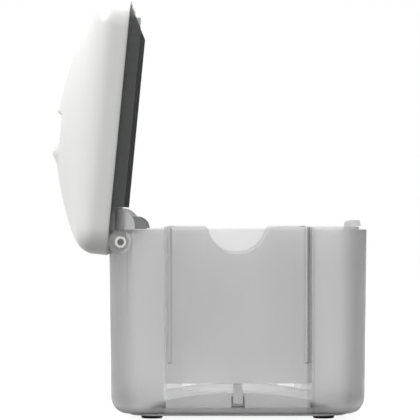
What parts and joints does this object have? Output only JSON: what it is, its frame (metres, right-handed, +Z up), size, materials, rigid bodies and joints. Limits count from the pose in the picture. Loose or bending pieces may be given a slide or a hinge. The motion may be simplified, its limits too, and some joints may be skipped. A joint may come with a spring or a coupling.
{
  "type": "tabletop napkin dispenser",
  "caption": "Tabletop dispenser for folded paper napkins: translucent tub on rubber feet, domed hinged lid with a pull-out slot, spring lift plate and sliding side panes.",
  "frame": {"origin": "middle of the bounding box of the open dispenser, on the plane that its feet stand on", "axes": "+X from the hinge to the catch, +Y across the box, +Z up"},
  "size_m": [0.2392, 0.155, 0.3153],
  "materials": {
    "smoke": "translucent smoky grey, polished beside the panes and frosted at the corners",
    "clear": "translucent, satin",
    "white": "glossy moulded white",
    "charcoal": "fine grained",
    "grey": "fine grained",
    "pale": "satin",
    "nylon": "satin",
    "steel": "bright drawn wire and strip",
    "dark_steel": "blackened",
    "foot_rubber": "matt black"
  },
  "bodies": {
    "base": {"tub": "smoke", "base_plate": "pale", "foot_1": "foot_rubber", "foot_2": "foot_rubber", "foot_3": "foot_rubber", "foot_4": "foot_rubber", "base_screws": "steel", "chassis": "pale", "hinge_pin": "dark_steel", "hinge_bush_left": "nylon", "hinge_bush_right": "nylon", "lid_catch": "pale", "strip_anchor_front": "grey", "strip_anchor_rear": "grey", "spring_strip_front": "steel", "spring_strip_rear": "steel"},
    "lid": {"lid_shell": "white", "lid_liner": "charcoal", "outlet_chute": "charcoal", "hinge_arm_left": "grey", "hinge_arm_right": "grey", "liner_screws": "steel", "latch_guide": "charcoal", "latch_spring": "steel"},
    "latch": {"latch_slider": "pale"},
    "lift": {"lift_plate": "pale", "drum_pins": "steel"},
    "drum_front": {"spring_drum_front": "nylon", "spring_coil_front": "steel"},
    "drum_rear": {"spring_drum_rear": "nylon", "spring_coil_rear": "steel"},
    "yoke": {"hold_down_yoke": "pale"},
    "pane_left": {"window_left": "clear"},
    "pane_right": {"window_right": "clear"}
  },
  "joints": [
    {"name": "lid_hinge", "type": "hinge", "parent": "base", "child": "lid", "pos_m": [-0.06479, 0, 0.1331], "axis": [0, 1, 0], "range_deg": [0, 84.5]},
    {"name": "latch_slide", "type": "slide", "parent": "lid", "child": "latch", "axis": [-0.0958, 0, -0.9954], "range_m": [0, 0.0025], "stiffness_N_per_m": 200, "springref_m": -0.002, "deforming": ["latch_spring"]},
    {"name": "lift_slide", "type": "slide", "parent": "base", "child": "lift", "axis": [0, 0, 1], "range_m": [0, 0.1], "deforming": ["spring_strip_front", "spring_strip_rear"]},
    {"name": "drum_front_turn", "type": "hinge", "parent": "lift", "child": "drum_front", "pos_m": [0.10776, 0, 0.0137], "axis": [0, 1, 0], "range_deg": [0, 1320]},
    {"name": "drum_rear_turn", "type": "hinge", "parent": "lift", "child": "drum_rear", "pos_m": [-0.06224, 0, 0.0137], "axis": [0, 1, 0], "range_deg": [-1320, 0]},
    {"name": "yoke_turn", "type": "hinge", "parent": "base", "child": "yoke", "pos_m": [0.02276, 0, 0.0122], "axis": [0, 1, 0], "range_deg": [-10, 0]},
    {"name": "pane_left_slide", "type": "slide", "parent": "base", "child": "pane_left", "axis": [0, 0, 1], "range_m": [0, 0.11]},
    {"name": "pane_right_slide", "type": "slide", "parent": "base", "child": "pane_right", "axis": [0, 0, 1], "range_m": [0, 0.11]}
  ],
  "couplings": [
    {"joint": "drum_front_turn", "follows": "lift_slide", "rad_per_m": 229.88},
    {"joint": "drum_rear_turn", "follows": "lift_slide", "rad_per_m": -229.88}
  ]
}
